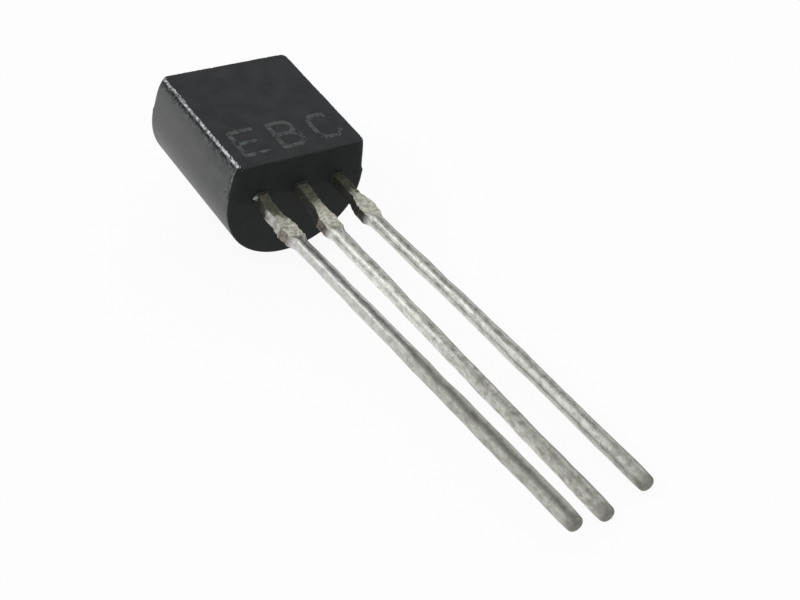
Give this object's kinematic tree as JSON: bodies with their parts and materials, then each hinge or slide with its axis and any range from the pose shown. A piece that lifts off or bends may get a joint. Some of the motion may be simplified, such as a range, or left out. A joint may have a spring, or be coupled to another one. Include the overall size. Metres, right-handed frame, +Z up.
{
  "type": "to-92 transistor",
  "caption": "Through-hole transistor in a black moulded TO-92 case with a flat front and a round back, on long solder-dipped leads bent slightly towards the flat.",
  "frame": {"origin": "on the floor under the middle of the part's bounding box, with the part at rest on its round back and on the tips of its middle and collector leads", "axes": "+Z up, +Y towards the closed end of the case so that the leads point to -Y and the case dips 12 degrees that way, +X from the emitter to the collector, which lies lower because the case leans 15 degrees"},
  "size_m": [0.0046, 0.0188, 0.0049],
  "materials": {
    "case_resin": "black transfer-moulded epoxy: matt on the flat, satin on the sides and the round back, with pale flash along one edge",
    "lead_metal": "stamped iron-nickel sheet, bare and tarnished at the case, then a dull lumpy tin-lead solder coat with narrow bright streaks",
    "silicon": "sawn silicon, grey-blue",
    "attach_layer": "thin conductive bonding layer, dull grey",
    "bond_gold": "fine gold wire",
    "marking_ink": "faint grey-green marking ink on the flat, worn and broken"
  },
  "bodies": {
    "root": {"moulded_body": "case_resin", "emitter_lead": "lead_metal", "base_lead": "lead_metal", "collector_lead": "lead_metal", "silicon_chip": "silicon", "die_attach": "attach_layer", "emitter_bond_wire": "bond_gold", "base_bond_wire": "bond_gold"}
  },
  "joints": []
}
